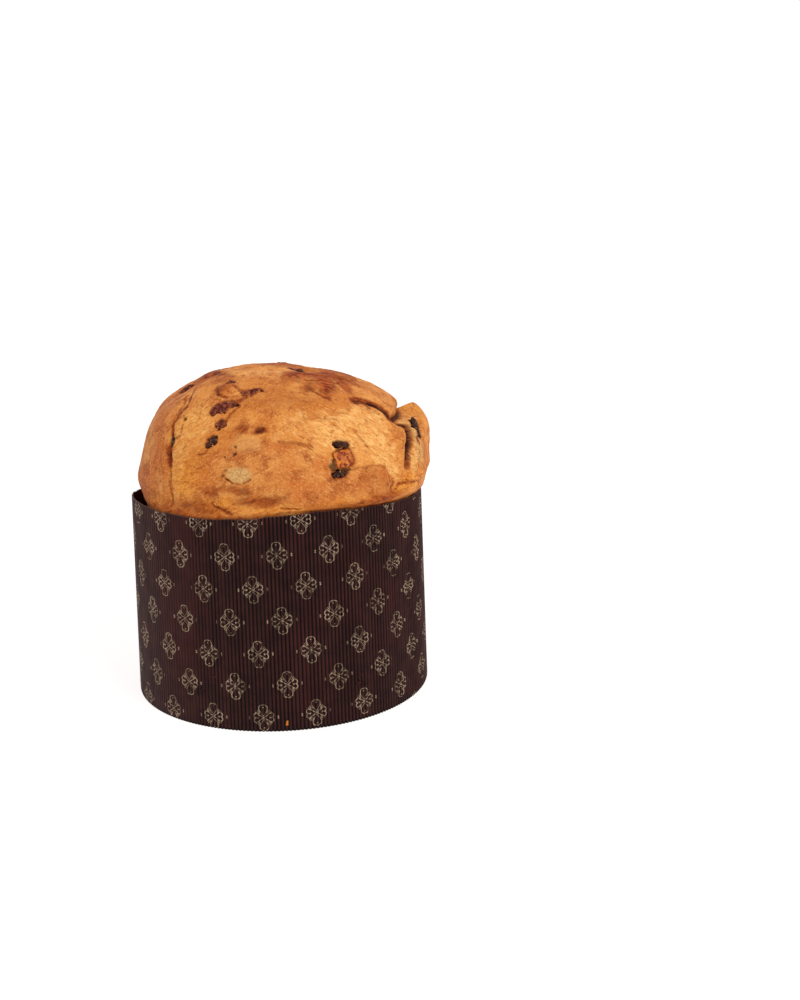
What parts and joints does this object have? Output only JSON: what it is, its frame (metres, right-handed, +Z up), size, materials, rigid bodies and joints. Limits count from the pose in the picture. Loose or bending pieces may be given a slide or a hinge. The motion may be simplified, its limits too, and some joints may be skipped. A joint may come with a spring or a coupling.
{
  "type": "panettone",
  "caption": "Whole domed sweet bread with raisins and candied peel, baked and served in its fluted dark paper case.",
  "frame": {"origin": "middle of the paper case's flat base, on the surface that the panettone stands on", "axes": "+Z up through the dome, -Y towards the front with the smooth skin and the diced peel, +X towards the side where the dome overhangs the case"},
  "size_m": [0.173, 0.17, 0.1844],
  "materials": {
    "crust": "baked golden-brown crust, dry and finely fibrous",
    "case_paper": "dark brown fluted baking paper with a small pale gold flower print",
    "raisin": "wrinkled dark raisin skin, slightly glossy",
    "peel": "baked candied orange peel, translucent and sticky"
  },
  "bodies": {
    "root": {"bread": "crust", "paper_case": "case_paper", "candied_peel_01": "peel", "candied_peel_02": "peel", "candied_peel_03": "peel", "raisin_01": "raisin", "raisin_02": "raisin", "raisin_03": "raisin", "raisin_04": "raisin", "raisin_05": "raisin", "raisin_06": "raisin", "raisin_07": "raisin", "raisin_08": "raisin", "raisin_09": "raisin", "raisin_10": "raisin", "raisin_11": "raisin", "raisin_12": "raisin", "raisin_13": "raisin", "raisin_14": "raisin", "raisin_15": "raisin", "raisin_16": "raisin", "raisin_17": "raisin", "raisin_18": "raisin", "raisin_19": "raisin", "raisin_20": "raisin", "raisin_21": "raisin"}
  },
  "joints": []
}
